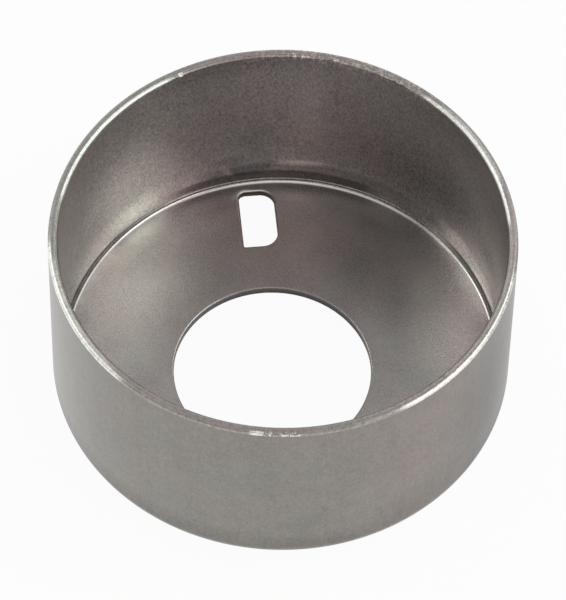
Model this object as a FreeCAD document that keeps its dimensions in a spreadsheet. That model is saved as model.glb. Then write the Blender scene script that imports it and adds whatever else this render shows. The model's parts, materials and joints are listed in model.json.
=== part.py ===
"""A deep drawn sheet metal cup with an open mouth and a pierced floor.

The cup stands on its floor. The origin is the centre of the underside, +Z runs up the
cup's axis and +Y runs along the slot. Sizes are in millimetres.
"""
import FreeCAD, Part
import math
import os

import Sketcher

NODE = "drawn_cup"

# Driving dimensions: alias, value, meaning.
SIZES = [
    ("outside_diameter", 60.0, "outside of the drawn wall"),
    ("cup_height", 29.1, "underside of the floor to the top of the rim"),
    ("sheet_thickness", 1.25, "steel sheet, at the floor and up the wall"),
    ("punch_radius", 0.6, "inside bend between floor and wall"),
    ("outer_bend_radius", 2.4, "outside bend, where the sheet stretched thinner"),
    ("rim_edge_radius", 0.4, "rounding of the two edges of the trimmed rim"),
    ("hole_diameter", 26.0, "round hole pierced in the floor"),
    ("hole_shift_x", -1.27, "centre of the hole from the cup's axis, across the slot"),
    ("hole_shift_y", -1.82, "centre of the hole from the cup's axis, along the slot"),
    ("slot_shift_x", -0.79, "middle of the slot from the cup's axis, across the slot"),
    ("slot_width", 4.7, "slot across"),
    ("slot_length", 9.0, "slot along +Y, inwards from its end near the wall"),
    ("slot_bend_gap", 0.75, "flat floor left between the slot's rolled edge and the bend"),
    ("outer_left_radius", 1.0, "slot corner near the wall, -X side"),
    ("outer_right_radius", 1.9, "slot corner near the wall, +X side"),
    ("inner_left_radius", 0.25, "slot corner near the hole, -X side"),
    ("inner_right_radius", 2.1, "slot corner near the hole, +X side"),
    ("rollover_radius", 0.2, "upper edge of hole and slot, dragged down by the punch"),
]

# Formulas over the sheet's cells.
OUTSIDE = "Sizes.outside_diameter / 2"
INSIDE = f"({OUTSIDE} - Sizes.sheet_thickness)"
FLAT_RADIUS = f"({INSIDE} - Sizes.punch_radius)"
INNER_BEND_TOP = "(Sizes.sheet_thickness + Sizes.punch_radius)"
UNDERSIDE_RADIUS = f"({OUTSIDE} - Sizes.outer_bend_radius)"
SLOT_LEFT = "(Sizes.slot_shift_x - Sizes.slot_width / 2)"
SLOT_RIGHT = "(Sizes.slot_shift_x + Sizes.slot_width / 2)"

# The slot's left corner by the wall comes nearest the bend, so it places the slot.
CORNER_X = f"({SLOT_LEFT} + Sizes.outer_left_radius)"
CORNER_REACH = (f"({FLAT_RADIUS} - Sizes.slot_bend_gap - Sizes.rollover_radius"
                " - Sizes.outer_left_radius)")
SLOT_OUTER = f"(sqrt({CORNER_REACH}^2 - {CORNER_X}^2) + Sizes.outer_left_radius)"
SLOT_INNER = f"({SLOT_OUTER} - Sizes.slot_length)"

START, END, CENTRE = 1, 2, 3   # points of a sketched line or arc
AXES = -1                      # a sketch's own X axis; its start is the sketch's origin
CLOSE = 1e-4                   # two places nearer than this are the same place


def make_sheet(doc):
    """Write the driving dimensions into a spreadsheet, one to a row."""
    sheet = doc.addObject("Spreadsheet::Sheet", "Sizes")
    for row, (alias, value, meaning) in enumerate(SIZES, start=1):
        sheet.set(f"A{row}", alias)
        sheet.set(f"B{row}", str(value))
        sheet.set(f"C{row}", meaning)
        sheet.setAlias(f"B{row}", alias)
    doc.recompute()
    return sheet


def own_datum(body, role):
    """The body's own origin plane or axis with this role."""
    return next(item for item in body.Origin.OriginFeatures if item.Role == role)


def new_sketch(body, name, role):
    """An empty sketch on one of the body's origin planes."""
    sketch = body.newObject("Sketcher::SketchObject", name)
    sketch.AttachmentSupport = [(own_datum(body, role), "")]
    sketch.MapMode = "FlatFace"
    return sketch


def add_line(sketch, start, end):
    """Sketch a straight edge and return its number."""
    return sketch.addGeometry(Part.LineSegment(FreeCAD.Vector(*start), FreeCAD.Vector(*end)))


def add_arc(sketch, centre, radius, first_degrees, last_degrees):
    """Sketch an anticlockwise arc and return its number."""
    circle = Part.Circle(FreeCAD.Vector(*centre), FreeCAD.Vector(0, 0, 1), radius)
    first, last = math.radians(first_degrees), math.radians(last_degrees)
    return sketch.addGeometry(Part.ArcOfCircle(circle, first, last))


def constrain(sketch, kind, *args):
    """Add one constraint and return its number."""
    return sketch.addConstraint(Sketcher.Constraint(kind, *args))


def drive(sketch, name, formula, kind, *args):
    """Add a named size to a sketch and bind it to the spreadsheet."""
    number = constrain(sketch, kind, *args, worth(sketch, formula))
    sketch.renameConstraint(number, name)
    sketch.setExpression(f"Constraints.{name}", formula)


def worth(holder, formula):
    """What a formula over the sheet's cells comes to."""
    return float(holder.evalExpression(formula))


def draw_wall_section(body, sheet):
    """Half the cup's section: sheet that is bent once, from floor to wall."""
    outside = worth(sheet, OUTSIDE)
    inside = worth(sheet, INSIDE)
    flat_radius = worth(sheet, FLAT_RADIUS)
    bend_top = worth(sheet, INNER_BEND_TOP)
    underside_radius = worth(sheet, UNDERSIDE_RADIUS)
    outer_radius = sheet.outer_bend_radius
    height = sheet.cup_height
    thickness = sheet.sheet_thickness

    sketch = new_sketch(body, "WallSection", "XZ_Plane")
    underside = add_line(sketch, (0, 0), (underside_radius, 0))
    outer_bend = add_arc(sketch, (underside_radius, outer_radius), outer_radius, -90, 0)
    outer_wall = add_line(sketch, (outside, outer_radius), (outside, height))
    rim = add_line(sketch, (outside, height), (inside, height))
    inner_wall = add_line(sketch, (inside, height), (inside, bend_top))
    inner_bend = add_arc(sketch, (flat_radius, bend_top), sheet.punch_radius, -90, 0)
    floor = add_line(sketch, (flat_radius, thickness), (0, thickness))
    axis = add_line(sketch, (0, thickness), (0, 0))

    constrain(sketch, "Tangent", underside, END, outer_bend, START)
    constrain(sketch, "Tangent", outer_bend, END, outer_wall, START)
    constrain(sketch, "Coincident", outer_wall, END, rim, START)
    constrain(sketch, "Coincident", rim, END, inner_wall, START)
    constrain(sketch, "Tangent", inner_wall, END, inner_bend, END)
    constrain(sketch, "Tangent", inner_bend, START, floor, START)
    constrain(sketch, "Coincident", floor, END, axis, START)
    constrain(sketch, "Coincident", axis, END, underside, START)
    constrain(sketch, "Coincident", underside, START, AXES, START)
    for level in (underside, rim, floor):
        constrain(sketch, "Horizontal", level)
    for upright in (outer_wall, inner_wall, axis):
        constrain(sketch, "Vertical", upright)

    drive(sketch, "outside", OUTSIDE, "DistanceX", AXES, START, rim, START)
    drive(sketch, "height", "Sizes.cup_height", "DistanceY", AXES, START, rim, START)
    drive(sketch, "wall", "Sizes.sheet_thickness", "DistanceX", rim, END, rim, START)
    drive(sketch, "floor", "Sizes.sheet_thickness", "DistanceY", AXES, START, floor, END)
    drive(sketch, "inner_bend", "Sizes.punch_radius", "Radius", inner_bend)
    drive(sketch, "outer_bend", "Sizes.outer_bend_radius", "Radius", outer_bend)
    return sketch


def draw_cup(body, sheet):
    """Turn the wall section about the cup's axis."""
    cup = body.newObject("PartDesign::Revolution", "DrawnCup")
    cup.Profile = draw_wall_section(body, sheet)
    cup.ReferenceAxis = (own_datum(body, "Z_Axis"), [""])
    cup.Angle = 360
    return cup


def rim_edges(shape, sheet):
    """The names of the two round edges at the top of the wall."""
    return [
        f"Edge{number}"
        for number, edge in enumerate(shape.Edges, start=1)
        if lies_at(edge, sheet.cup_height)
    ]


def lies_at(edge, height):
    """Whether the whole edge lies in the level plane at this height."""
    box = edge.BoundBox
    return abs(box.ZMin - height) < CLOSE and abs(box.ZMax - height) < CLOSE


def round_edges(body, name, base, edges, radius_cell):
    """Round some edges of a feature by the radius in one cell."""
    fillet = body.newObject("PartDesign::Fillet", name)
    fillet.Base = (base, edges)
    fillet.setExpression("Radius", radius_cell)
    return fillet


def draw_hole_outline(body, sheet):
    """The round hole, off the cup's axis."""
    centre = FreeCAD.Vector(sheet.hole_shift_x, sheet.hole_shift_y)
    circle = Part.Circle(centre, FreeCAD.Vector(0, 0, 1), sheet.hole_diameter / 2)
    sketch = new_sketch(body, "HoleOutline", "XY_Plane")
    hole = sketch.addGeometry(circle)
    drive(sketch, "across", "Sizes.hole_shift_x", "DistanceX", AXES, START, hole, CENTRE)
    drive(sketch, "along", "Sizes.hole_shift_y", "DistanceY", AXES, START, hole, CENTRE)
    drive(sketch, "diameter", "Sizes.hole_diameter", "Diameter", hole)
    return sketch


def draw_slot_outline(body, sheet):
    """The slot: four straight sides and four corners, each worn to its own radius."""
    left, right = worth(sheet, SLOT_LEFT), worth(sheet, SLOT_RIGHT)
    inner, outer = worth(sheet, SLOT_INNER), worth(sheet, SLOT_OUTER)
    corners = [
        ("outer_right", (right, outer), (-1, -1), 0, sheet.outer_right_radius),
        ("outer_left", (left, outer), (1, -1), 90, sheet.outer_left_radius),
        ("inner_left", (left, inner), (1, 1), 180, sheet.inner_left_radius),
        ("inner_right", (right, inner), (-1, 1), 270, sheet.inner_right_radius),
    ]

    sketch = new_sketch(body, "SlotOutline", "XY_Plane")
    arcs = []
    for name, (x, y), (inward_x, inward_y), first_degrees, radius in corners:
        centre = (x + inward_x * radius, y + inward_y * radius)
        arc = add_arc(sketch, centre, radius, first_degrees, first_degrees + 90)
        drive(sketch, name, f"Sizes.{name}_radius", "Radius", arc)
        arcs.append(arc)
    sides = []
    for arc, next_arc in zip(arcs, arcs[1:] + arcs[:1]):
        start, end = sketch.getPoint(arc, END), sketch.getPoint(next_arc, START)
        side = add_line(sketch, start, end)
        constrain(sketch, "Tangent", arc, END, side, START)
        constrain(sketch, "Tangent", side, END, next_arc, START)
        sides.append(side)

    top, left_side, bottom, right_side = sides
    for level in (top, bottom):
        constrain(sketch, "Horizontal", level)
    for upright in (left_side, right_side):
        constrain(sketch, "Vertical", upright)
    drive(sketch, "left", SLOT_LEFT, "DistanceX", AXES, START, left_side, START)
    drive(sketch, "right", SLOT_RIGHT, "DistanceX", AXES, START, right_side, START)
    drive(sketch, "inner", SLOT_INNER, "DistanceY", AXES, START, bottom, START)
    drive(sketch, "outer", SLOT_OUTER, "DistanceY", AXES, START, top, START)
    return sketch


def pierce(body, name, outline):
    """Cut an outline up through the floor, from its underside."""
    cut = body.newObject("PartDesign::Pocket", name)
    cut.Profile = outline
    cut.Type = "Length"
    cut.Reversed = True
    cut.setExpression("Length", "Sizes.sheet_thickness")
    return cut


def pierced_edges(shape, sheet):
    """The names of the floor's upper edges round the hole and the slot."""
    flat_radius = worth(sheet, FLAT_RADIUS)
    return [
        f"Edge{number}"
        for number, edge in enumerate(shape.Edges, start=1)
        if lies_at(edge, sheet.sheet_thickness) and not is_round_edge(edge, flat_radius)
    ]


def is_round_edge(edge, radius):
    """Whether the edge is a circle or arc of this radius about the cup's axis."""
    curve = edge.Curve
    if not isinstance(curve, Part.Circle):
        return False
    return abs(curve.Radius - radius) < CLOSE and math.hypot(*curve.Center[:2]) < CLOSE


def build_cup(doc, sheet):
    """Draw the cup, round its rim, then pierce its floor."""
    body = doc.addObject("PartDesign::Body", "Cup")
    body.Label = NODE
    drawn = draw_cup(body, sheet)
    doc.recompute()
    rim = round_edges(body, "RimEdges", drawn, rim_edges(drawn.Shape, sheet),
                      "Sizes.rim_edge_radius")
    doc.recompute()

    hole = pierce(body, "Hole", draw_hole_outline(body, sheet))
    doc.recompute()
    slot = pierce(body, "Slot", draw_slot_outline(body, sheet))
    doc.recompute()
    round_edges(body, "Rollover", slot, pierced_edges(slot.Shape, sheet),
                "Sizes.rollover_radius")
    doc.recompute()

    volumes = [feature.Shape.Volume for feature in (drawn, rim, hole, slot, body)]
    print("volume after each step, mm3:", [round(volume, 2) for volume in volumes])
    if volumes != sorted(volumes, reverse=True):
        raise RuntimeError("a cut removed nothing")
    return body


def check_document(doc, body):
    """Stop if any object failed or the cup is not one sound solid."""
    failed = [item.Name for item in doc.Objects if {"Invalid", "Error"} & set(item.State)]
    if failed:
        raise RuntimeError(f"these objects failed: {failed}")
    shape = body.Shape
    if shape.isNull() or not shape.isValid() or len(shape.Solids) != 1:
        raise RuntimeError("the cup is not one valid solid")


def main():
    doc = FreeCAD.newDocument("DrawnCup")
    sheet = make_sheet(doc)
    body = build_cup(doc, sheet)
    check_document(doc, body)
    os.makedirs("parts", exist_ok=True)
    body.Shape.exportStep(f"parts/{NODE}.step")
    print(f"wrote {NODE}: {body.Shape.Volume:.1f} mm3, {len(body.Shape.Faces)} faces")


main()
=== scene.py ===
# %% [markdown]
# # A deep drawn steel cup
#
# This cup is pressed from one round blank of steel sheet. A punch pushes the blank
# through a ring, the wall stands up round the punch, and the top is trimmed flat. A second
# tool then pierces a round hole and a slot in the floor. The lesson builds the cup as one
# mesh in the frame that the CAD model gives, dresses it in bare drawn steel, and sets it
# on a pale table among soft lamps.

# %% Load the frame
import json
import math

import bmesh
import bpy
from mathutils import Matrix, Vector, noise


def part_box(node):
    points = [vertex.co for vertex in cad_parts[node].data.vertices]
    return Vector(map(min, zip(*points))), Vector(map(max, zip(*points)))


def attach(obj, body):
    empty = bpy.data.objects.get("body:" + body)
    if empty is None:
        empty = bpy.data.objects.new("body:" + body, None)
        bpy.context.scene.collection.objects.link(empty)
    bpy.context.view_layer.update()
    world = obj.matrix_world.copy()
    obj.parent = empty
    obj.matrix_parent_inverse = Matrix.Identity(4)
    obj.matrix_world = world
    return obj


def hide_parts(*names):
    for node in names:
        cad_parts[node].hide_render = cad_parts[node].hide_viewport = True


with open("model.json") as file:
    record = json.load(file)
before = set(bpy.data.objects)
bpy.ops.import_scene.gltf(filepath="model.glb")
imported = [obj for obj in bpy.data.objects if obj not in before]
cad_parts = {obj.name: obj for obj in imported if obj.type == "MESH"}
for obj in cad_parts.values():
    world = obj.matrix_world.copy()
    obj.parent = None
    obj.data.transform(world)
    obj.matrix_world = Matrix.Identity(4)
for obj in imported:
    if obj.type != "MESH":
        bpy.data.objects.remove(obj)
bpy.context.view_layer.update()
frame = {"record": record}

MM = 0.001
NODE = "drawn_cup"
low, high = (Vector(corner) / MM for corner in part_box(NODE))
print("cup box, mm:", tuple(round(side, 2) for side in high - low))

# %% [markdown]
# ## The camera
#
# A long lens far away keeps the two ends of the cup nearly the same size, which is how a
# small part is usually shown. The camera stands at an angle and a height, looks at a point
# on the cup's axis, and is tipped a little to one side. Giving those plain facts and
# letting a rotation be worked out is easier to read than a matrix of numbers.

# %% Stand the camera
CAMERA_PLACE = Vector((-42.53, -367.58, 559.58)) * MM
CAMERA_AIM = Vector((0.148, -0.017, 14.752)) * MM
CAMERA_ROLL = math.radians(1.256)
LENS = 304.62
SENSOR_WIDTH = 36.0
VIEW_END = 10.0


def stand_camera():
    """A long-lens camera that looks down into the mouth of the cup."""
    camera = bpy.data.objects.new("camera", bpy.data.cameras.new("camera"))
    camera.data.lens = LENS
    camera.data.sensor_width = SENSOR_WIDTH
    camera.data.clip_end = VIEW_END
    look = (CAMERA_AIM - CAMERA_PLACE).to_track_quat("-Z", "Y").to_matrix().to_4x4()
    roll = Matrix.Rotation(CAMERA_ROLL, 4, "Z")
    camera.matrix_world = Matrix.Translation(CAMERA_PLACE) @ look @ roll
    bpy.context.collection.objects.link(camera)
    bpy.context.scene.camera = camera
    return camera


camera = stand_camera()
print(f"camera {(CAMERA_AIM - CAMERA_PLACE).length / MM:.0f} mm from the cup")

# %% [markdown]
# ## The cup's sizes
#
# The outside comes from the frame's box, and the bore, the hole and the slot come from the
# mounts in the record, so the skin always fits the solid. The few sizes that the record
# doesn't give are the bends, the edges and the slot's corners.

# %% Read the sizes
mounts = {mount["name"]: mount for mount in frame["record"]["mounts"]}
OUTSIDE = (high.x - low.x) / 2
HEIGHT = high.z - low.z
INSIDE = mounts["cup_bore"]["dims"]["r_mm"]
SHEET = OUTSIDE - INSIDE
HOLE_RADIUS = mounts["centre_hole"]["dims"]["r_mm"]
HOLE_CENTRE = Vector(mounts["centre_hole"]["pos_m"][:2]) / MM
SLOT_CENTRE = Vector(mounts["floor_slot"]["pos_m"][:2]) / MM
SLOT_LENGTH = mounts["floor_slot"]["dims"]["slot_length_mm"]
SLOT_WIDTH = 4.7
SLOT_CORNERS = (1.9, 1.0, 0.25, 2.1)
PUNCH_RADIUS = 0.6
OUTER_BEND = 2.4
RIM_EDGE = 0.4
print(f"wall {OUTSIDE:.2f} mm outside, {INSIDE:.2f} mm inside, sheet {SHEET:.2f} mm")

# %% [markdown]
# ## Loops
#
# Each surface of the cup except the two flats of its floor is one section carried round a
# closed loop: the wall's section goes round a circle, and the pierced edges go round the
# hole and the slot. A loop is a list of points, each with the direction that leads away
# from the loop's middle.

# %% Draw the loops
WALL_COLUMNS = 1440
HOLE_COLUMNS = 540
CORNER_STEPS = 16
SIDE_STEPS = 24
CORNERS = ((1, 1), (-1, 1), (-1, -1), (1, -1))


def circle_loop(radius, count, centre=(0.0, 0.0)):
    """Points and outward directions round a circle, in millimetres."""
    loop = []
    for step in range(count):
        angle = 2 * math.pi * step / count
        outward = Vector((math.cos(angle), math.sin(angle)))
        loop.append((Vector(centre) + outward * radius, outward))
    return loop


def rounded_loop(centre, width, length, radii):
    """A rectangle's loop, its corners rounded anticlockwise from the far right one."""
    half = Vector((width / 2, length / 2))
    arcs = []
    for quarter, ((side, end), radius) in enumerate(zip(CORNERS, radii)):
        corner = Vector((side * (half.x - radius), end * (half.y - radius))) + centre
        arc = []
        for step in range(CORNER_STEPS + 1):
            angle = math.pi / 2 * (quarter + step / CORNER_STEPS)
            outward = Vector((math.cos(angle), math.sin(angle)))
            arc.append((corner + outward * radius, outward))
        arcs.append(arc)
    loop = []
    for arc, next_arc in zip(arcs, arcs[1:] + arcs[:1]):
        loop += arc
        (start, outward), (end, _) = arc[-1], next_arc[0]
        for step in range(1, SIDE_STEPS):
            loop.append((start.lerp(end, step / SIDE_STEPS), outward))
    return loop


wall_loop = circle_loop(OUTSIDE, WALL_COLUMNS)
hole_loop = circle_loop(HOLE_RADIUS, HOLE_COLUMNS, HOLE_CENTRE)
slot_loop = rounded_loop(SLOT_CENTRE, SLOT_WIDTH, SLOT_LENGTH, SLOT_CORNERS)
print(f"loops of {len(wall_loop)}, {len(hole_loop)} and {len(slot_loop)} points")

# %% [markdown]
# ## The wall's section
#
# A section is a short list of steps: how far each point lies outwards from the loop, and
# how high it is. Round edges are arcs of many small steps, because steel shows every facet
# its reflections. A flat stretch ends in one narrow guard strip, which keeps the tilt of
# a round edge from spreading across the flat when the shading is smoothed. The inside bend
# has the punch's small radius, and the outside one is larger, because the sheet stretches
# thinner as it is pulled round the punch.

# %% Draw the wall's section
GUARD = 0.12
BEND_STEPS = 8
EDGE_STEPS = 8
WALL_ROWS = 5
FLAT_ROWS = 2


def arc_points(centre, radius, first_degrees, last_degrees, steps):
    """Points along an arc in the plane of the section."""
    points = []
    for step in range(steps + 1):
        angle = math.radians(first_degrees + (last_degrees - first_degrees) * step / steps)
        sideways, upwards = radius * math.cos(angle), radius * math.sin(angle)
        points.append((centre[0] + sideways, centre[1] + upwards))
    return points


def straight_points(start, end, rows):
    """Points strictly between two ends."""
    run, rise = end[0] - start[0], end[1] - start[1]
    steps = [row / rows for row in range(1, rows)]
    return [(start[0] + run * step, start[1] + rise * step) for step in steps]


def wall_section():
    """From the floor's upper face, up the inside, over the rim and down to the underside."""
    punch_centre = (INSIDE - PUNCH_RADIUS, SHEET + PUNCH_RADIUS)
    inner_bend = arc_points(punch_centre, PUNCH_RADIUS, -90, 0, BEND_STEPS)
    outer_centre = (OUTSIDE - OUTER_BEND, OUTER_BEND)
    outer_bend = arc_points(outer_centre, OUTER_BEND, 0, -90, 2 * BEND_STEPS)
    edge_height = HEIGHT - RIM_EDGE
    inner_edge = arc_points((INSIDE + RIM_EDGE, edge_height), RIM_EDGE, 180, 90, EDGE_STEPS)
    outer_edge = arc_points((OUTSIDE - RIM_EDGE, edge_height), RIM_EDGE, 90, 0, EDGE_STEPS)
    below_inner = (INSIDE, inner_edge[0][1] - GUARD)
    below_outer = (OUTSIDE, outer_edge[-1][1] - GUARD)
    section = [(inner_bend[0][0] - GUARD, SHEET)]
    section += inner_bend + [(INSIDE, inner_bend[-1][1] + GUARD)]
    section += straight_points(section[-1], below_inner, WALL_ROWS) + [below_inner]
    section += inner_edge + straight_points(inner_edge[-1], outer_edge[0], FLAT_ROWS)
    section += outer_edge
    section += [below_outer] + straight_points(below_outer, outer_bend[0], WALL_ROWS)
    section += outer_bend + [(outer_bend[-1][0] - GUARD, 0.0)]
    return [(radius - OUTSIDE, height) for radius, height in section]


wall_profile = wall_section()
print(f"wall section of {len(wall_profile)} points")

# %% [markdown]
# ## The pierced edges
#
# A punch leaves the same three zones on every edge that it cuts. It first drags the upper
# corner down into a rolled edge, then shears a smooth burnished band, and at last the sheet
# cracks and breaks away, a little wider than the punch. The slot lies so near the bend that
# its outer end rolled over further, which shows as a pale halo round its left corner.

# %% Draw the pierced section
ROLLOVER = 0.2
HALO = 0.45
HALO_FROM_END = 1.0
HALO_PLACE = SLOT_CENTRE + Vector((-SLOT_WIDTH / 2, SLOT_LENGTH / 2 - HALO_FROM_END))
HALO_REACH = 2.6
HALO_STRETCH = 0.5
BURNISHED = 0.6
BREAKAWAY = 0.08
BREAK_START = 0.6
BURR_EDGE = 0.05


def pierced_section(extra=0.0):
    """Over the rolled edge, down the cut and under it. The extra widens the rolled edge."""
    width = ROLLOVER + extra
    section = [(width + GUARD, SHEET)]
    for offset, height in arc_points((1.0, 0.0), 1.0, 90, 180, EDGE_STEPS):
        section.append((offset * width, SHEET - ROLLOVER + height * ROLLOVER))
    section += [(0.0, SHEET - BURNISHED + GUARD), (0.0, SHEET - BURNISHED)]
    section += [(BREAKAWAY * BREAK_START, SHEET - BURNISHED - GUARD), (BREAKAWAY, BURR_EDGE)]
    section += [(BREAKAWAY + BURR_EDGE, 0.0), (BREAKAWAY + BURR_EDGE + GUARD, 0.0)]
    return section


def halo_at(point):
    """How much wider the rolled edge is at a point of the slot's loop."""
    away = point - HALO_PLACE
    nearness = max(0.0, 1.0 - math.hypot(away.x, away.y * HALO_STRETCH) / HALO_REACH)
    return HALO * nearness * nearness * (3 - 2 * nearness)


print(f"rolled edge {ROLLOVER} mm wide, up to {ROLLOVER + HALO:.1f} mm by the wall")

# %% [markdown]
# ## One closed skin
#
# A ring of points is made for every point of a section, and each ring is joined to the
# next. The flats are then filled between the rings that they share with the bands. The
# alternative, a lathe and two boolean cuts, gives the same outline but leaves ragged
# triangles along the cuts, and polished edges show those.

# %% Join the bands
def add_band(mesh, loop, section_at):
    """Rings of quads: a section carried round the loop. Returns the first and last ring."""
    columns = []
    for point, outward in loop:
        column = []
        for offset, height in section_at(point):
            column.append(mesh.verts.new((*(point + outward * offset), height)))
        columns.append(column)
    for column, next_column in zip(columns, columns[1:] + columns[:1]):
        pairs = list(zip(column, next_column))
        for low_pair, high_pair in zip(pairs, pairs[1:]):
            mesh.faces.new((*low_pair, *reversed(high_pair)))
    return [column[0] for column in columns], [column[-1] for column in columns]


def ring_edges(mesh, ring):
    """The edges that join a ring's neighbours."""
    return [mesh.edges.get((ring[here - 1], ring[here])) for here in range(len(ring))]


def build_cup_mesh():
    """The whole cup as one closed mesh, in millimetres."""
    mesh = bmesh.new()
    bands = [
        add_band(mesh, wall_loop, lambda point: wall_profile),
        add_band(mesh, hole_loop, lambda point: pierced_section()),
        add_band(mesh, slot_loop, lambda point: pierced_section(halo_at(point))),
    ]
    for end, upward in ((0, 1), (1, -1)):
        edges = [edge for band in bands for edge in ring_edges(mesh, band[end])]
        bmesh.ops.triangle_fill(mesh, use_beauty=True, edges=edges, normal=(0, 0, upward))
    bmesh.ops.recalc_face_normals(mesh, faces=mesh.faces)
    return mesh


cup_mesh = build_cup_mesh()
print(f"skin of {len(cup_mesh.verts)} points and {len(cup_mesh.faces)} faces")

# %% [markdown]
# ## Wear on the rim
#
# The trimming cutter leaves small burrs and nicks, and handling flattens them. They are
# small, but each has facets that catch a lamp, so they are real dents in the mesh and not
# paint. Burrs are noise inside a stretch of the rim. A nick is one narrow notch. Angles
# run anticlockwise from +X, as seen from above.

# %% Wear the rim
# Each burred stretch: edge radius, first and last degrees, and how far the metal is pushed.
BURRS = [
    (INSIDE, 68.0, 86.0, 0.30),
    (INSIDE, 38.0, 68.0, 0.18),
    (OUTSIDE, -107.0, -97.0, 0.26),
    (OUTSIDE, -137.0, -107.0, 0.05),
    (OUTSIDE, -97.0, -60.0, 0.05),
    (OUTSIDE, 150.0, 178.0, 0.03),
]
# Each nick: edge radius, degrees, half its width and its depth.
NICKS = [
    (INSIDE, 111.8, 0.28, 0.25),
    (OUTSIDE, 164.7, 0.25, 0.15),
    (OUTSIDE, -131.4, 0.30, 0.10),
]
BURR_FADE = 2.5
BURR_WAVE = 1.9
BURR_SEED = 5
EDGE_REACH = 0.40


def near_edge(radius, height, edge_radius):
    """1 at one edge of the rim, falling to 0 away from it."""
    away = math.hypot(radius - edge_radius, height - HEIGHT)
    return max(0.0, 1.0 - away / EDGE_REACH)


def between(value, first, last, fade):
    """1 between two values, falling to 0 outside them."""
    return max(0.0, min(1.0, (value - first) / fade, (last - value) / fade))


def wear_rim(mesh):
    """Push the rim's edges about by their burrs and nicks."""
    moved = 0
    for vert in mesh.verts:
        if vert.co.z < HEIGHT - RIM_EDGE - GUARD / 2:
            continue
        radius = math.hypot(vert.co.x, vert.co.y)
        degrees = math.degrees(math.atan2(vert.co.y, vert.co.x))
        push = Vector((0.0, 0.0, 0.0))
        for edge, first, last, depth in BURRS:
            amount = near_edge(radius, vert.co.z, edge) * between(degrees, first, last, BURR_FADE)
            if amount > 0:
                push += noise.noise_vector(vert.co * BURR_WAVE) * depth * amount
        for edge, place, half_width, depth in NICKS:
            aside = math.radians(degrees - place) * edge / half_width
            if abs(aside) < 1:
                into_metal = -1 if edge == OUTSIDE else 1
                outward = Vector((vert.co.x, vert.co.y, 0)).normalized()
                slope = outward * into_metal - Vector((0, 0, 1))
                push += slope * depth * (1 - abs(aside)) * near_edge(radius, vert.co.z, edge)
        if push.length > 0:
            vert.co += push
            moved += 1
    return moved


# Without a seed of its own, noise_vector starts from the clock, and each run differs.
noise.seed_set(BURR_SEED)
print(f"wear moved {wear_rim(cup_mesh)} points of the rim")

# %% [markdown]
# ## The finished piece
#
# The mesh is checked for open edges, shaded smooth and turned into one object in metres.
# It rides on the part's only body, and it stands for the plain CAD solid.

# %% Make the piece
def finish_piece(mesh, name):
    """Turn the mesh into a smooth-shaded object in metres."""
    open_edges = sum(1 for edge in mesh.edges if not edge.is_manifold)
    print(f"{name}: {open_edges} open edges, {mesh.calc_volume():.0f} mm3 of steel")
    for face in mesh.faces:
        face.smooth = True
    bmesh.ops.scale(mesh, vec=(MM, MM, MM), verts=mesh.verts)
    data = bpy.data.meshes.new(name)
    mesh.to_mesh(data)
    mesh.free()
    piece = bpy.data.objects.new(name, data)
    bpy.context.collection.objects.link(piece)
    return piece


cup = finish_piece(cup_mesh, "cup_skin")
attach(cup, "root")
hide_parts(NODE)

# %% [markdown]
# ## Writing a material as sums
#
# A material's node tree is a set of formulas, and wired by hand it is hard to read. The
# class below wraps one socket. Arithmetic on it adds Math nodes, so a mask can be written
# as a line of Python, and one method adds any other node.

# %% Wrap a socket
class Wire:
    """One socket of a node tree, which can stand in a formula."""

    def __init__(self, tree, socket=None):
        self.tree = tree
        self.socket = socket

    def node(self, kind, settings=None, inputs=None, output=0):
        """Add a node: its settings first, then the values or wires of its sockets."""
        node = self.tree.nodes.new(kind)
        for name, value in (settings or {}).items():
            setattr(node, name, value)
        for name, value in (inputs or {}).items():
            if isinstance(value, Wire):
                self.tree.links.new(value.socket, node.inputs[name])
            else:
                node.inputs[name].default_value = value
        return Wire(self.tree, node.outputs[output] if node.outputs else None)

    def math(self, operation, *values):
        """One Math node on numbers or wires."""
        return self.node("ShaderNodeMath", {"operation": operation}, dict(enumerate(values)))

    def vector(self, operation, other):
        """One Vector Math node on this wire and another vector."""
        sockets = {0: self, 1: other}
        return self.node("ShaderNodeVectorMath", {"operation": operation}, sockets)

    def scaled(self, factor):
        """This vector or colour, times a number."""
        sockets = {0: self, "Scale": factor}
        return self.node("ShaderNodeVectorMath", {"operation": "SCALE"}, sockets)

    def rise(self, start, end):
        """0 up to the start, 1 from the end on, and a smooth rise between them."""
        limits = {"Value": self, "From Min": start, "From Max": end}
        settings = {"interpolation_type": "SMOOTHSTEP"}
        return self.node("ShaderNodeMapRange", settings, limits)

    def __add__(self, other):
        return self.math("ADD", self, other)

    def __radd__(self, other):
        return self.math("ADD", other, self)

    def __sub__(self, other):
        return self.math("SUBTRACT", self, other)

    def __rsub__(self, other):
        return self.math("SUBTRACT", other, self)

    def __mul__(self, other):
        return self.math("MULTIPLY", self, other)

    def __rmul__(self, other):
        return self.math("MULTIPLY", other, self)

    def __truediv__(self, other):
        return self.math("DIVIDE", self, other)

    def __pow__(self, other):
        return self.math("POWER", self, other)

    def __abs__(self):
        return self.math("ABSOLUTE", self)


print("a wire has its own sums")

# %% [markdown]
# ## Three helpers
#
# The first empties a material so that it can be wired from nothing. The second writes a
# colour in the form that a socket takes. The third goes from one colour to another with a
# Mix node, since a Math node would turn a colour into one grey number.

# %% Help with colours
def new_tree(owner):
    """An empty node tree, ready to be wired."""
    owner.use_nodes = True
    owner.node_tree.nodes.clear()
    return Wire(owner.node_tree)


def colour_of(red, green, blue):
    """A colour, as a node's socket takes it."""
    return (red, green, blue, 1.0)


# A Mix node has a set of sockets for each kind of value, and these are the colour's.
FIRST_COLOUR, SECOND_COLOUR, MIXED_COLOUR = 6, 7, 2


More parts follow.
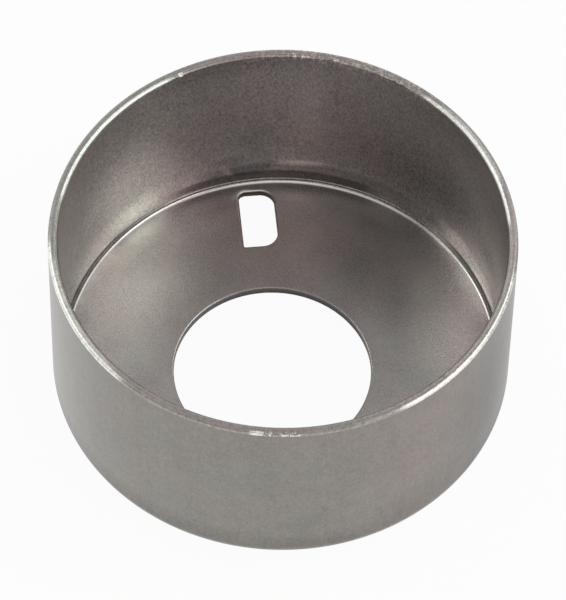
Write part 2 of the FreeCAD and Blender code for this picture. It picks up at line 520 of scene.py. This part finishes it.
def blend(factor, first, second):
    """From the first colour to the second."""
    sockets = {"Factor": factor, FIRST_COLOUR: first, SECOND_COLOUR: second}
    return factor.node("ShaderNodeMix", {"data_type": "RGBA"}, sockets, output=MIXED_COLOUR)


WHITE = colour_of(1.0, 1.0, 1.0)
print("colours can be blended")

# %% [markdown]
# ## Where things are on the cup
#
# The steel's finish changes from place to place, so the material first works out where it
# is: millimetres from the axis, height, and angle round the cup. Smooth steps on those make
# a mask for each zone: the rim, the outside wall, the floor, the inside wall and the cuts.

# %% Find the zones
steel = bpy.data.materials.new("drawn steel")
wires = new_tree(steel)
place = wires.node("ShaderNodeTexCoord", output="Object").scaled(1 / MM)
across, along, up = (
    wires.node("ShaderNodeSeparateXYZ", inputs={0: place}, output=axis) for axis in "XYZ"
)
radius = (across * across + along * along) ** 0.5
turn = wires.math("ARCTAN2", along, across)

# How far each mask takes to go from 0 to 1, and how far the cuts stay from the wall.
EDGE = 0.08
CUTS_TO_WALL = 1.0
on_rim = up.rise(HEIGHT - RIM_EDGE - EDGE, HEIGHT - RIM_EDGE + EDGE)
on_outside = radius.rise(INSIDE + RIM_EDGE, INSIDE + RIM_EDGE + EDGE) * (1 - on_rim)
on_floor = (1 - up.rise(SHEET + EDGE, SHEET + 2 * EDGE)) * (1 - on_outside)
inner_wall = (1 - on_floor) * (1 - on_outside)
in_cuts = 1 - up.rise(SHEET - ROLLOVER - EDGE, SHEET - EDGE / 2)
in_cuts = in_cuts * (1 - radius.rise(INSIDE - CUTS_TO_WALL, INSIDE))
print("zones: rim, outside, floor, inside wall, cuts")

# %% [markdown]
# ## The grain
#
# Drawn sheet has three kinds of unevenness. The fine grain of its rolled skin is about a
# quarter of a millimetre across, and shows as a faint speckle. The drawing ring rubs faint
# upright streaks into the wall. Rinsing and handling leave wide soft clouds, warmer and
# cooler by turns. Each is one noise, stretched upright for the streaks.

# %% Draw the grain
def cloud(scale, detail=2.0, stretch=1.0, seed=0.0):
    """Noise from -1 to 1, with so many bumps to the millimetre."""
    spot = place.vector("MULTIPLY", (1.0, 1.0, stretch)).vector("ADD", (seed, seed, seed))
    sockets = {"Vector": spot, "Scale": scale, "Detail": detail}
    return (wires.node("ShaderNodeTexNoise", inputs=sockets, output="Fac") - 0.5) * 2


grain = cloud(scale=4.2, detail=1.0, stretch=0.55)
coarse_grain = cloud(scale=1.9, detail=1.0, stretch=0.6, seed=7.0)
streaks = cloud(scale=1.1, detail=3.0, stretch=0.05, seed=20.0)
wide_streaks = cloud(scale=0.28, detail=2.0, stretch=0.08, seed=40.0)
clouds = cloud(scale=0.16, detail=3.0, seed=60.0)
tint_clouds = cloud(scale=0.11, detail=2.0, seed=80.0)
small_clouds = cloud(scale=0.45, detail=2.0, seed=100.0)
print("grain, streaks and clouds")

# %% [markdown]
# ## Marks, and painted light and shade, on the wall
#
# A cup from the press carries small marks of its making: a few rubs near the bend, a few
# stains and a few light scratches. The wide soft patches are painted shade and painted
# light, set where the steel's reflections are darker or lighter under these lamps. The pale
# band high on the far wall is a painted reflection of the hole, the pale streak low on the
# far side a painted glow, and the long dark rows low on the far side painted shade. Each is
# a soft oval on the wall, placed by its angle and height, with its length, width and tilt,
# and how much darker or lighter it leaves the steel. The list is short enough to be read,
# and a mark can be moved by changing its line.

# %% Mark the wall and paint its light and shade
# Each mark: wall radius, degrees, height, length, width, tilt in degrees, change of tone.
WALL_MARKS_AND_PAINTED_LIGHT = [
    # The wide rows, and the long rows low on the far side, are painted shade and light; the
    # smallest are real rubs, stains and scratches.
    (INSIDE, 102.5, 3.9, 3.4, 0.9, -20, -0.28),
    (INSIDE, 79.0, 5.4, 10.0, 1.9, -5, 0.85),
    (INSIDE, 83.0, 3.3, 17.0, 1.4, -3, -0.18),
    (INSIDE, 8.7, 2.8, 1.2, 0.9, 0, -0.30),
    (INSIDE, 77.0, 17.0, 7.0, 24.0, 0, 0.20),
    (INSIDE, 40.0, 9.0, 34.0, 30.0, 0, -0.30),
    (INSIDE, 156.0, 11.0, 26.0, 26.0, 0, -0.30),
    (INSIDE, 140.0, 21.0, 26.0, 20.0, 0, -0.26),
    (INSIDE, 22.0, 13.0, 26.0, 22.0, 0, -0.30),
    (INSIDE, 11.0, 11.0, 12.0, 8.0, 0, -0.22),
    (INSIDE, 99.0, 6.6, 9.0, 3.0, 0, -0.30),
    (INSIDE, 98.0, 28.0, 36.0, 8.0, 0, -0.22),
    (INSIDE, 12.0, 27.0, 16.0, 10.0, 0, 0.30),
    (OUTSIDE, -26.0, 12.0, 34.0, 64.0, 0, -0.62),
    (OUTSIDE, -58.0, 6.0, 26.0, 9.0, 0, -0.16),
    (OUTSIDE, -166.0, 14.5, 0.6, 0.6, 0, -0.40),
    (OUTSIDE, -117.1, 5.5, 1.3, 0.5, 10, -0.22),
    (OUTSIDE, -105.6, 5.1, 1.0, 0.5, 30, -0.22),
    (OUTSIDE, -33.4, 26.5, 1.2, 0.25, 30, -0.25),
    (OUTSIDE, -37.0, 21.1, 1.6, 0.22, -25, -0.22),
    (OUTSIDE, -52.0, 27.4, 1.2, 2.2, 20, 0.12),
    (OUTSIDE, -96.0, 12.0, 16.0, 9.0, 0, 0.04),
]
# How far from a wall, in millimetres, its marks are full and gone.
ON_THE_WALL, OFF_THE_WALL = 0.2, 0.4
# How far out from its middle a mark stays full, where its edge is 1.
MARK_CORE = 0.1


def oval(aside, ahead, length, width, tilt):
    """How far out a place lies in a tilted oval: 0 in its middle, 1 at its edge."""
    cos, sin = math.cos(math.radians(tilt)), math.sin(math.radians(tilt))
    lengthwise = (aside * cos + ahead * sin) / (length / 2)
    crosswise = (ahead * cos - aside * sin) / (width / 2)
    return (lengthwise * lengthwise + crosswise * crosswise) ** 0.5


def wall_mark(wall, degrees, height, length, width, tilt):
    """A mask: 1 in the middle of an oval on a wall, 0 outside it."""
    aside = (turn - math.radians(degrees)) * wall
    away = oval(aside, up - height, length, width, tilt)
    return (1 - away.rise(MARK_CORE, 1.0)) * on_wall[wall]


on_wall = {
    wall: 1 - abs(radius - wall).rise(ON_THE_WALL, OFF_THE_WALL) for wall in (INSIDE, OUTSIDE)
}
# Painted light and shade and the real marks, summed into one change of tone.
marks_and_painted_light = sum(wall_mark(*row[:-1]) * row[-1] for row in WALL_MARKS_AND_PAINTED_LIGHT)
print(f"{len(WALL_MARKS_AND_PAINTED_LIGHT)} marks on the wall")

# %% [markdown]
# ## Painted light and shade on the floor
#
# The floor is held flat while the wall is drawn, so it keeps more of the sheet's own skin.
# It is painted paler at the left and right and darker round the middle, as its reflections
# fall under these lamps. A small painted highlight lies at the slot's corner, and a faint
# painted shade beside the slot. These are the same soft ovals, placed by millimetres across
# and along the floor.

# %% Paint light and shade on the floor
# Each mark: its place across and along, length, width, tilt in degrees, change of tone.
# Painted light and shade on the floor: paler sides, a darker middle, a highlight at the slot's
# corner.
FLOOR_PAINTED_LIGHT = [
    (-16.0, 12.5, 26.0, 14.0, 36, 0.50),
    (22.2, 4.2, 27.0, 14.0, 82, 0.70),
    (-10.5, 21.5, 18.0, 10.0, 20, 0.28),
    (20.0, 11.5, 14.0, 10.0, -60, 0.24),
    (-19.5, 4.0, 14.0, 12.0, 90, 0.18),
    (12.0, 14.5, 20.0, 14.0, -40, -0.12),
    (14.0, 20.0, 14.0, 7.0, -35, -0.12),
    (-3.5, 26.5, 2.4, 1.0, 50, 1.00),
    (-4.0, 22.5, 9.0, 1.8, 88, -0.06),
    (2.0, 1.0, 40.0, 40.0, 0, -0.40),
]


def floor_mark(centre_x, centre_y, length, width, tilt):
    """A mask: 1 in the middle of an oval on the floor, 0 outside it."""
    away = oval(across - centre_x, along - centre_y, length, width, tilt)
    return (1 - away.rise(0.0, 1.0)) * on_floor


marks_and_painted_light = marks_and_painted_light + sum(floor_mark(*row[:-1]) * row[-1] for row in FLOOR_PAINTED_LIGHT)
print(f"{len(FLOOR_PAINTED_LIGHT)} marks on the floor")

# %% [markdown]
# ## One side of the cup
#
# Hands, trays and tools don't touch a cup evenly, so much of its finish lies on one side.
# The helper below gives a mask round the cup: 1 in a stretch about a direction, and 0 away
# from it. It uses the cosine of the angle to that direction. The plain angle jumps from 180
# to -180 degrees at one place, and a mask made from it would have a seam there.

# %% Face a direction
def facing(degrees, half_width, fade):
    """1 in a stretch round the cup, about a direction, fading out at both ends."""
    near, far = (math.cos(math.radians(angle)) for angle in (half_width, half_width + fade))
    return wires.math("COSINE", turn - math.radians(degrees)).rise(far, near)


def facing_any(stretches):
    """Several such stretches in one mask."""
    return sum(facing(*stretch) for stretch in stretches)


print("directions run anticlockwise from +X")

# %% [markdown]
# ## Bare drawn steel
#
# Steel is a metal, so its base colour is the colour of its reflections: a warm grey inside,
# where the sheet keeps its rolled skin, and a darker, more neutral grey outside, where the
# ring burnished it. These greys are partly that real finish and partly painted light and
# shade: the floor is painted paler and the walls darker, each to the brightness it shows
# under these lamps. The rim is freshly cut, and paler. The cut faces are painted dark as
# shade, darkest in the narrow slot. The zones are laid over each other in turn, each by its
# own mask.

# %% Colour the zones
# Partly painted light and shade: the floor's paler steel and the walls' darker ones follow how
# bright each zone looks under these lamps.
INSIDE_STEEL = colour_of(0.345, 0.315, 0.306)
FLOOR_STEEL = colour_of(0.560, 0.526, 0.508)
# Painted shade: the cut faces are darkened for the shade in them, darkest in the narrow slot.
SHADED_HOLE_CUT_STEEL = colour_of(0.190, 0.176, 0.168)
SHADED_SLOT_CUT_STEEL = colour_of(0.045, 0.038, 0.034)
OUTSIDE_STEEL = colour_of(0.252, 0.238, 0.220)
WARM_OUTSIDE_STEEL = colour_of(0.270, 0.236, 0.219)
RIM_STEEL = colour_of(0.400, 0.365, 0.350)
WARM_STRETCH = (-20, 30, 50)
HOLE_TO_SLOT = 2.0

body_colour = blend(on_floor, INSIDE_STEEL, FLOOR_STEEL)
in_slot = along.rise(HOLE_RADIUS, HOLE_RADIUS + HOLE_TO_SLOT)
body_colour = blend(in_cuts, body_colour, blend(in_slot, SHADED_HOLE_CUT_STEEL, SHADED_SLOT_CUT_STEEL))
outside_colour = blend(facing(*WARM_STRETCH), OUTSIDE_STEEL, WARM_OUTSIDE_STEEL)
body_colour = blend(on_outside, body_colour, outside_colour)
body_colour = blend(on_rim, body_colour, RIM_STEEL)
print("steel for the floor, walls, cuts and rim")

# %% [markdown]
# ## The rim's painted highlights
#
# The rim is what other things touch. Its two rounded edges carry painted highlights in long
# stretches, where they turn to the lamps, and its flat in shorter ones. Two narrow painted
# glints sit at a nick inside and a raised spot outside.

# %% Paint the rim's highlights
# Painted highlights: a near-white steel laid where the rim's edges and flat face the lamps.
PAINTED_HIGHLIGHT_STEEL = colour_of(0.95, 0.94, 0.88)
# Each stretch: its direction, half its width and its fade, all in degrees.
INNER_EDGE_HIGHLIGHTS = [(139, 21, 6), (22, 20, 6), (111.8, 0.4, 0.4)]
OUTER_EDGE_HIGHLIGHTS = [(-41, 20, 8), (-161, 18, 8), (-102, 1, 1)]
FLAT_HIGHLIGHTS = [(-160, 14, 8), (25, 10, 8)]
FLAT_HIGHLIGHT_SHARE = 0.5

inner_edge = on_rim * (1 - radius.rise(INSIDE + RIM_EDGE - EDGE, INSIDE + RIM_EDGE + EDGE))
outer_edge = on_rim * radius.rise(OUTSIDE - RIM_EDGE - EDGE, OUTSIDE - RIM_EDGE + EDGE)
rim_flat = on_rim * (1 - inner_edge) * (1 - outer_edge)
# Painted highlights on the rim's edges and flat, with painted glints at the nick and the raised
# spot.
highlighted = inner_edge * facing_any(INNER_EDGE_HIGHLIGHTS) + outer_edge * facing_any(OUTER_EDGE_HIGHLIGHTS)
highlighted = highlighted + rim_flat * facing_any(FLAT_HIGHLIGHTS) * FLAT_HIGHLIGHT_SHARE
print(f"{len(INNER_EDGE_HIGHLIGHTS + OUTER_EDGE_HIGHLIGHTS + FLAT_HIGHLIGHTS)} rubbed stretches")

# %% [markdown]
# ## Burr glints and scrapes
#
# The burrs get painted glints in small spots, cut out of the grain, in the same pale steel as
# the rim's painted highlights. The wall just under the rim was scraped by the trimming tool,
# and it shows the same spots in a browner steel.

# %% Paint glints on the burrs
SCRAPED_STEEL = colour_of(0.62, 0.54, 0.47)
INNER_BURR_GLINTS, OUTER_BURR_GLINTS = (77, 5, 3), (-97, 5, 2)
OUTER_GLINT_SHARE = 0.6
SPOT_FROM, SPOT_TO = 0.05, 0.4
SCRAPED_STRETCH = (68, 22, 6)
SCRAPED_FROM, SCRAPED_TO = HEIGHT - 1.2, HEIGHT - 0.6
SCRAPED_SHARE = 0.6

spots = (grain + coarse_grain).rise(SPOT_FROM, SPOT_TO)
# Painted glints: spots of near-white steel over the burred stretches of the rim.
burrs = inner_edge * facing(*INNER_BURR_GLINTS)
burrs = (burrs + outer_edge * facing(*OUTER_BURR_GLINTS) * OUTER_GLINT_SHARE) * spots
# Painted highlights and glints: the rim's stretches and the burr spots turn to a near-white
# steel.
body_colour = blend((highlighted + burrs).rise(0.0, 1.0), body_colour, PAINTED_HIGHLIGHT_STEEL)
scraped = inner_wall * up.rise(SCRAPED_FROM, SCRAPED_TO) * facing(*SCRAPED_STRETCH) * spots
body_colour = blend(scraped * SCRAPED_SHARE, body_colour, SCRAPED_STEEL)
print(f"scraped above {SCRAPED_FROM:.1f} mm")

# %% [markdown]
# ## The bend's painted highlight
#
# Where floor meets wall, over the round of the punch's nose, a narrow line of paler steel is
# a painted highlight. It is fainter on the far side and brightest at the right.

# %% Paint the bend's highlight
# Painted highlight: a paler steel along the bend, fainter at the far side and near-white at the
# right.
BEND_HIGHLIGHT_STEEL = colour_of(0.66, 0.63, 0.61)
FAINT_BEND_HIGHLIGHT, BRIGHTEST_BEND_HIGHLIGHT = (72, 34, 12), (20, 14, 10)
BEND_HIGHLIGHT_FADING = 0.6
BEND_HIGHLIGHT_SHARE = 0.7
BEND_FADE_FROM, BEND_FADE_TO = (SHEET + share * PUNCH_RADIUS for share in (0.6, 1.5))

bend_start = INSIDE - PUNCH_RADIUS
bend = (1 - on_outside) * radius.rise(bend_start - EDGE, bend_start + EDGE)
bend = bend * (1 - up.rise(BEND_FADE_FROM, BEND_FADE_TO))
bend_highlight = bend * (1 - facing(*FAINT_BEND_HIGHLIGHT) * BEND_HIGHLIGHT_FADING)
body_colour = blend(bend_highlight, body_colour, BEND_HIGHLIGHT_STEEL)
body_colour = blend(bend * facing(*BRIGHTEST_BEND_HIGHLIGHT) * BEND_HIGHLIGHT_SHARE, body_colour, PAINTED_HIGHLIGHT_STEEL)
print(f"bend polished up to {BEND_FADE_TO:.2f} mm")

# %% [markdown]
# ## The foot of the wall
#
# The wall's lowest few millimetres carry painted light and shade. A band of painted shade
# with a darker painted line under it runs along the far side. At the left and right, a pale
# streak above the bend is a painted reflection, with a slightly lighter painted strip below
# it. Each of these zones is one row: a stretch round the cup, and the heights at which it
# begins, is full, begins to fade and ends.

# %% Paint light and shade on the foot of the wall
# Each zone: direction, half its width and its fade in degrees, then four heights in mm.
# Painted shade in the first two rows, painted reflections and lighter painted strips in the rest.
FOOT_LIGHT_AND_SHADE = {
    "dull_band": (76, 25, 10, 0.0, 0.1, 4.6, 6.0),
    "dark_line": (86, 22, 10, 0.0, 0.1, 3.2, 4.0),
    "left_streak": (137, 8, 14, 2.2, 3.6, 4.2, 8.0),
    "right_streak": (21, 10, 9, 2.2, 3.4, 4.6, 6.8),
    "left_strip": (153, 12, 7, SHEET + 0.1, SHEET + 0.4, 2.5, 3.4),
    "right_strip": (22, 14, 10, SHEET + 0.1, SHEET + 0.4, 2.5, 3.4),
}
BAND_SHADE = 0.44
LINE_SHADE = 0.68
STRIP_LIGHT = 0.75
STREAK_GLOW = 0.7
RIGHT_GLOW_SHARE = 1.2


def foot_zone(degrees, half_width, fade, begins, full, fades, ends):
    """A mask: 1 in a stretch round the cup between heights, 0 outside it."""
    return facing(degrees, half_width, fade) * up.rise(begins, full) * (1 - up.rise(fades, ends))


foot = {name: foot_zone(*row) for name, row in FOOT_LIGHT_AND_SHADE.items()}
on_foot = inner_wall * up.rise(SHEET + PUNCH_RADIUS - EDGE, SHEET + PUNCH_RADIUS + EDGE)
# Painted light and shade: the foot's bands darken the steel, its streaks and strips lighten it.
painted_glow = on_foot * (foot["left_streak"] + foot["right_streak"] * RIGHT_GLOW_SHARE)
foot_light_and_shade = 1 - on_foot * foot["dull_band"] * BAND_SHADE
foot_light_and_shade = foot_light_and_shade * (1 - on_foot * foot["dark_line"] * LINE_SHADE)
foot_light_and_shade = foot_light_and_shade * (1 + inner_wall * (foot["left_strip"] + foot["right_strip"]) * STRIP_LIGHT)
foot_light_and_shade = foot_light_and_shade * (1 + painted_glow * STREAK_GLOW)
print(f"{len(foot)} zones at the foot of the wall")

# %% [markdown]
# ## The tone
#
# Every noise, mark and painted shade so far now comes together in one number, the tone,
# which makes the steel lighter or darker. The grain is strongest on the inside wall and
# weakest on the rim, where fine concentric cutter lines take its place. Beside the bend the
# floor gets its own painted light and shade, and the outside wall is painted darker at its
# foot, a painted shade where it turns under.

# %% Mix the tone
GRAIN, WALL_GRAIN, QUIET_GRAIN = 0.22, 0.36, 0.12
COARSE, WALL_COARSE, FLOOR_COARSE = 0.12, 0.10, 0.06
LINE_SCALE = 9.0
LINE_TONE = 0.7
QUIET_FLOOR = (145, 20, 30)
CLOUD_TONES = [(streaks, 0.05), (wide_streaks, 0.06), (clouds, 0.09), (small_clouds, 0.07)]
# Each stretch of painted light or shade on the floor beside the bend: direction, half
# width, fade, change of tone.
BEND_SIDE_PAINTED_LIGHT = [(80, 24, 14, 0.72), (150, 12, 12, -0.34), (16, 10, 10, -0.46)]
BEND_SIDE_FROM, BEND_SIDE_TO = INSIDE - 3.6, INSIDE - 0.9
OUTER_FOOT_FROM, OUTER_FOOT_TO = 2.5, 6.5
OUTER_FOOT_SHADE = 0.22

line_sockets = {"W": radius, "Scale": LINE_SCALE, "Detail": 1.0}
lines = wires.node("ShaderNodeTexNoise", {"noise_dimensions": "1D"}, line_sockets)
quiet = on_floor * facing(*QUIET_FLOOR) + on_rim
tone = 1 + (lines - 0.5) * on_rim * LINE_TONE
tone = tone + grain * (GRAIN + inner_wall * WALL_GRAIN - quiet * QUIET_GRAIN)
tone = tone + coarse_grain * (COARSE + inner_wall * WALL_COARSE - on_floor * FLOOR_COARSE)
tone = tone + sum(noise_wire * strength for noise_wire, strength in CLOUD_TONES)
bend_side = on_floor * radius.rise(BEND_SIDE_FROM, BEND_SIDE_TO)
bend_side_painted_tone = bend_side * sum(facing(*row[:-1]) * row[-1] for row in BEND_SIDE_PAINTED_LIGHT)
# Painted shade: the outside wall is darkened at its foot, where it turns under towards the table.
outer_foot = on_outside * (1 - up.rise(OUTER_FOOT_FROM, OUTER_FOOT_TO))
tone = tone + marks_and_painted_light + bend_side_painted_tone - outer_foot * OUTER_FOOT_SHADE
tone = tone * foot_light_and_shade
print("one tone from grain, clouds, marks and foot")

# %% [markdown]
# ## The tints
#
# Steel is never one grey. A trace of oil and a thin skin of oxide tint it in soft clouds,
# warmer and cooler by turns. The far side is also tinted a little pink and the left a little
# green, and the painted glow at the foot a little yellow. A tint multiplies the colour, and
# its parts stay near 1.

# %% Tint the steel
WARM, COOL = colour_of(1.03, 0.99, 0.99), colour_of(0.99, 1.005, 0.985)
SIDE_TINT, MIDDLE_TINT = colour_of(0.990, 1.003, 1.0), colour_of(1.036, 0.992, 1.014)
LEFT_TINT = colour_of(0.968, 1.003, 0.990)
# The tint of the painted glow at the foot of the wall.
PAINTED_GLOW_TINT = colour_of(0.985, 1.0, 0.965)
MIDDLE_STRETCH, LEFT_STRETCH = (88, 12, 28), (150, 25, 30)
MIDDLE_ON_WALL, LEFT_ON_FLOOR = 0.5, 0.3
WIDE_TINT, SMALL_TINT, MEAN_TINT = 1.6, 0.5, 0.5
FULL_STREAK = 0.8

tint_place = tint_clouds * WIDE_TINT + small_clouds * SMALL_TINT + MEAN_TINT
inside = 1 - on_outside
in_middle = facing(*MIDDLE_STRETCH) * inside * (MIDDLE_ON_WALL + on_floor * (1 - MIDDLE_ON_WALL))
at_left = facing(*LEFT_STRETCH) * inside * (1 - on_floor * (1 - LEFT_ON_FLOOR))
tints = [
    blend(tint_place.rise(0.0, 1.0), COOL, WARM),
    blend(painted_glow.rise(0.0, FULL_STREAK), WHITE, PAINTED_GLOW_TINT),
    blend(in_middle, SIDE_TINT, MIDDLE_TINT),
    blend(at_left, WHITE, LEFT_TINT),
]
steel_colour = body_colour
for tint in tints:
    steel_colour = steel_colour.vector("MULTIPLY", tint)
steel_colour = steel_colour.scaled(tone)
print(f"{len(tints)} tints")

# %% [markdown]
# ## Gloss and relief
#
# Bare drawn steel is smooth but not bright. Inside, the wall is smoothest near the bend,
# where the punch pressed it. The grain, the draw streaks and the rim's cutter lines are
# finer than the eye can part, so they are height in a Bump node and not mesh. The lines on
# the rim spread each lamp's light along the radius.

# %% Set gloss and relief
ROUGHNESS = 0.28
WALL_GLOSS = 0.08
WALL_ROUGHENING = 0.18
WALL_ROUGH_FROM, WALL_ROUGH_TO = 3.0, 10.0
CLOUD_ROUGHNESS, GRAIN_ROUGHNESS = 0.02, 0.03
BEND_GLOSS, LEFT_BEND_SPREAD = 0.06, 0.08
LEFT_BEND = (145, 25, 10)
GRAIN_DEPTH, STREAK_DEPTH, LINE_DEPTH = 0.0006, 0.0015, 0.035
FLOOR_FLATNESS = 0.8

up_the_wall = inner_wall * up.rise(WALL_ROUGH_FROM, WALL_ROUGH_TO)
roughness = ROUGHNESS - inner_wall * WALL_GLOSS + up_the_wall * WALL_ROUGHENING
roughness = roughness + clouds * CLOUD_ROUGHNESS + grain * GRAIN_ROUGHNESS
roughness = roughness - bend * BEND_GLOSS + bend * facing(*LEFT_BEND) * LEFT_BEND_SPREAD
depth = (grain + coarse_grain) * (1 - on_floor * FLOOR_FLATNESS) * GRAIN_DEPTH
depth = depth + streaks * STREAK_DEPTH + lines * on_rim * LINE_DEPTH
bump_sockets = {"Height": depth, "Strength": 1.0, "Distance": MM}
relief = wires.node("ShaderNodeBump", inputs=bump_sockets, output="Normal")
print(f"roughness about {ROUGHNESS}")

# %% [markdown]
# ## The shader
#
# Everything ends in one metal shader: colour, roughness and relief change over the cup, and
# the rest is constant.

# %% Finish the steel
finish = {
    "Base Color": steel_colour,
    "Metallic": 1.0,
    "Roughness": roughness,
    "Normal": relief,
}
surface = wires.node("ShaderNodeBsdfPrincipled", inputs=finish)
wires.node("ShaderNodeOutputMaterial", inputs={"Surface": surface})
cup.data.materials.append(steel)
print(f"steel of {len(steel.node_tree.nodes)} nodes")

# %% [markdown]
# ## The table
#
# The cup stands on pale paper. Eyes and mirrors see the paper nearly white: a plain white
# glow is mixed over it for rays from the camera, and for those that the metal reflects. The
# rest of its colour is ordinary paper, which takes the cup's soft shadow. Under the cup the
# paper lies in the dark, and what the metal reflects of it through the holes stays dim. To
# the right of the cup it is a little dimmer too, which gives the wall its darker right side.

# %% Lay the table
TABLE_SIZE = 3.0
PAPER = colour_of(0.88, 0.88, 0.88)
PAPER_ROUGHNESS = 0.9
WHITE_SHARE = 0.94
UNDER_CUP = 0.13
RIGHT_SHARE = 0.60


def lay_table():
    """A wide flat sheet under the cup."""
    mesh = bmesh.new()
    bmesh.ops.create_grid(mesh, x_segments=1, y_segments=1, size=TABLE_SIZE)
    data = bpy.data.meshes.new("table")
    mesh.to_mesh(data)
    mesh.free()
    table = bpy.data.objects.new("table", data)
    bpy.context.collection.objects.link(table)
    return table


def paper_material():
    """Pale paper that looks white to the camera and in reflections."""
    paper = bpy.data.materials.new("pale paper")
    wires = new_tree(paper)
    spot = wires.node("ShaderNodeTexCoord", output="Object").scaled(1 / MM)
    length = {"operation": "LENGTH"}
    from_axis = wires.node("ShaderNodeVectorMath", length, {0: spot}, output="Value")
    rightward = wires.node("ShaderNodeSeparateXYZ", inputs={0: spot}, output="X")
    in_the_open = UNDER_CUP + (1 - UNDER_CUP) * from_axis.rise(OUTSIDE - SHEET, OUTSIDE)
    dimmed = (1 - RIGHT_SHARE) * rightward.rise(OUTSIDE / 2, 2 * OUTSIDE)
    in_the_open = in_the_open * (1 - dimmed)
    rays = ("Is Camera Ray", "Is Glossy Ray", "Is Transmission Ray")
    seen, mirrored, through = (wires.node("ShaderNodeLightPath", output=ray) for ray in rays)
    white = wires.math("MAXIMUM", seen, wires.math("MAXIMUM", mirrored, through) * in_the_open)
    finish = {"Base Color": PAPER, "Roughness": PAPER_ROUGHNESS}
    plain = wires.node("ShaderNodeBsdfPrincipled", inputs=finish)
    glow = wires.node("ShaderNodeEmission", inputs={"Color": WHITE, "Strength": 1.0})
    mixed = wires.node("ShaderNodeMixShader", inputs={0: white * WHITE_SHARE, 1: plain, 2: glow})
    wires.node("ShaderNodeOutputMaterial", inputs={"Surface": mixed})
    return paper


table = lay_table()
table.data.materials.append(paper_material())
print(f"table {2 * TABLE_SIZE:.0f} m wide")

# %% [markdown]
# ## The lamps
#
# A drawn cup is a mirror with a soft finish, so its look is that of the room. Here that is
# a pale room with a darker ceiling, and five soft boxes: three round the right side, one at
# the left, a little behind, and a faint one in front. Each is given as the compass
# direction and the elevation that it is seen in, how wide it looks, and how bright its face
# is, where 1 is white paper. Its power follows from that.

# %% Hang the lamps
LAMP_DISTANCE = 0.6
# Each lamp: name, compass degrees from +Y towards +X, elevation, its width and height as
# angles, and its brightness.
LAMPS = [
    ("right_back_box", 62.0, 52.0, 22.0, 22.0, 2.3),
    ("right_box", 101.0, 49.0, 22.0, 22.0, 2.4),
    ("front_right_box", 130.0, 36.0, 30.0, 22.0, 1.3),
    ("left_box", 309.0, 50.0, 22.0, 22.0, 2.1),
    ("front_box", 180.0, 56.0, 28.0, 28.0, 0.32),
]


def hang_lamp(name, compass, elevation, width, height, brightness):
    """A rectangular soft box that faces the cup."""
    sides = [2 * LAMP_DISTANCE * math.tan(math.radians(angle / 2)) for angle in (width, height)]
    level = math.cos(math.radians(elevation))
    direction = Vector((
        level * math.sin(math.radians(compass)),
        level * math.cos(math.radians(compass)),
        math.sin(math.radians(elevation)),
    ))
    light = bpy.data.lights.new(name, "AREA")
    light.shape = "RECTANGLE"
    light.size, light.size_y = sides
    light.energy = brightness * math.pi * sides[0] * sides[1]
    lamp = bpy.data.objects.new(name, light)
    lamp.location = direction * LAMP_DISTANCE
    lamp.rotation_euler = direction.to_track_quat("Z", "Y").to_euler()
    bpy.context.collection.objects.link(lamp)
    return lamp


lamps = [hang_lamp(*row) for row in LAMPS]
for lamp in lamps:
    print(f"{lamp.name}: {lamp.data.size / MM:.0f} mm wide, {lamp.data.energy:.2f} W")

# %% [markdown]
# ## The room
#
# The world round the scene is the room itself. Its brightness depends only on how high one
# looks: the walls are pale, the ceiling is half as bright, and the change between them is
# soft, as in a room with white walls and its lights turned off.

# %% Light the room
ROOM_WALLS = 0.9
ROOM_CEILING = 0.45
CEILING_FROM, CEILING_TO = 0.34, 0.66


def light_room():
    """A plain room, paler at its walls than at its ceiling."""
    world = bpy.data.worlds.new("studio")
    wires = new_tree(world)
    direction = wires.node("ShaderNodeTexCoord", output="Generated")
    rise = wires.node("ShaderNodeSeparateXYZ", inputs={0: direction}, output="Z")
    ceiling = rise.rise(CEILING_FROM, CEILING_TO)
    strength = ROOM_WALLS + (ROOM_CEILING - ROOM_WALLS) * ceiling
    room = wires.node("ShaderNodeBackground", inputs={"Color": WHITE, "Strength": strength})
    wires.node("ShaderNodeOutputWorld", inputs={"Surface": room})
    return world


bpy.context.scene.world = light_room()
bpy.context.scene.view_settings.view_transform = "Standard"
print(f"room of {ROOM_WALLS} at its walls and {ROOM_CEILING} at its ceiling")
